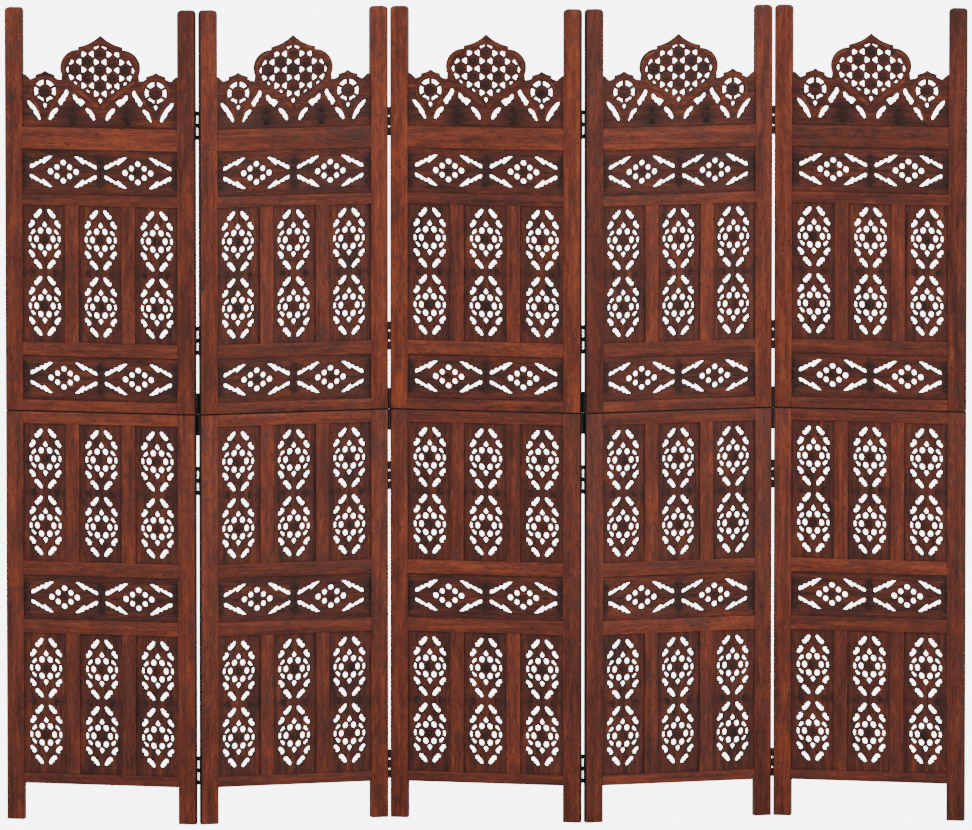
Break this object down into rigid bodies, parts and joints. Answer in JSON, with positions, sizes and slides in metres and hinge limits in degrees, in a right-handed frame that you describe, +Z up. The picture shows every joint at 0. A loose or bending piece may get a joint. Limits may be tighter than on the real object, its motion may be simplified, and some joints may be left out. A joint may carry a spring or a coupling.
{
  "type": "folding mashrabiya screen",
  "caption": "Free-standing folding screen of hinged wooden panels, each a frame of stiles, rails and muntins round pierced carved boards, with a carved ogee crest between the posts.",
  "frame": {"origin": "on the floor, under the middle of the middle panel, which is the middle of the whole stance", "axes": "+Z up; +X to the right along the screen as the picture shows it; the viewer and the fronts are on -Y"},
  "size_m": [1.9382, 0.1174, 1.65],
  "materials": {
    "frame_wood": "oiled reddish brown, worn satin",
    "board_wood": "carved, stained darker, satin",
    "iron": "black lacquered"
  },
  "bodies": {
    "panel_1": {"panel_1_lower_frame": "frame_wood", "panel_1_upper_frame": "frame_wood", "panel_1_low_row_board": "board_wood", "panel_1_low_band_board": "board_wood", "panel_1_middle_row_board": "board_wood", "panel_1_middle_band_board": "board_wood", "panel_1_high_row_board": "board_wood", "panel_1_crest_board": "board_wood"},
    "panel_2": {"panel_2_lower_frame": "frame_wood", "panel_2_upper_frame": "frame_wood", "panel_2_low_row_board": "board_wood", "panel_2_low_band_board": "board_wood", "panel_2_middle_row_board": "board_wood", "panel_2_middle_band_board": "board_wood", "panel_2_high_row_board": "board_wood", "panel_2_crest_board": "board_wood", "hinge_1_2_1": "iron", "hinge_1_2_2": "iron", "hinge_1_2_3": "iron", "hinge_1_2_4": "iron"},
    "panel_3": {"panel_3_lower_frame": "frame_wood", "panel_3_upper_frame": "frame_wood", "panel_3_low_row_board": "board_wood", "panel_3_low_band_board": "board_wood", "panel_3_middle_row_board": "board_wood", "panel_3_middle_band_board": "board_wood", "panel_3_high_row_board": "board_wood", "panel_3_crest_board": "board_wood", "hinge_2_3_1": "iron", "hinge_2_3_2": "iron", "hinge_2_3_3": "iron", "hinge_2_3_4": "iron", "hinge_3_4_1": "iron", "hinge_3_4_2": "iron", "hinge_3_4_3": "iron", "hinge_3_4_4": "iron"},
    "panel_4": {"panel_4_lower_frame": "frame_wood", "panel_4_upper_frame": "frame_wood", "panel_4_low_row_board": "board_wood", "panel_4_low_band_board": "board_wood", "panel_4_middle_row_board": "board_wood", "panel_4_middle_band_board": "board_wood", "panel_4_high_row_board": "board_wood", "panel_4_crest_board": "board_wood", "hinge_4_5_1": "iron", "hinge_4_5_2": "iron", "hinge_4_5_3": "iron", "hinge_4_5_4": "iron"},
    "panel_5": {"panel_5_lower_frame": "frame_wood", "panel_5_upper_frame": "frame_wood", "panel_5_low_row_board": "board_wood", "panel_5_low_band_board": "board_wood", "panel_5_middle_row_board": "board_wood", "panel_5_middle_band_board": "board_wood", "panel_5_high_row_board": "board_wood", "panel_5_crest_board": "board_wood"}
  },
  "joints": [
    {"name": "fold_1_2", "type": "hinge", "parent": "panel_2", "child": "panel_1", "pos_m": [-0.58259, -0.0422, 0.825], "axis": [0, 0, -1], "range_deg": [-30, 150]},
    {"name": "fold_2_3", "type": "hinge", "parent": "panel_3", "child": "panel_2", "pos_m": [-0.1942, 0.0422, 0.825], "axis": [0, 0, 1], "range_deg": [-30, 144]},
    {"name": "fold_3_4", "type": "hinge", "parent": "panel_3", "child": "panel_4", "pos_m": [0.1942, -0.0422, 0.825], "axis": [0, 0, 1], "range_deg": [-30, 144]},
    {"name": "fold_4_5", "type": "hinge", "parent": "panel_4", "child": "panel_5", "pos_m": [0.58259, 0.0422, 0.825], "axis": [0, 0, -1], "range_deg": [-30, 150]}
  ]
}
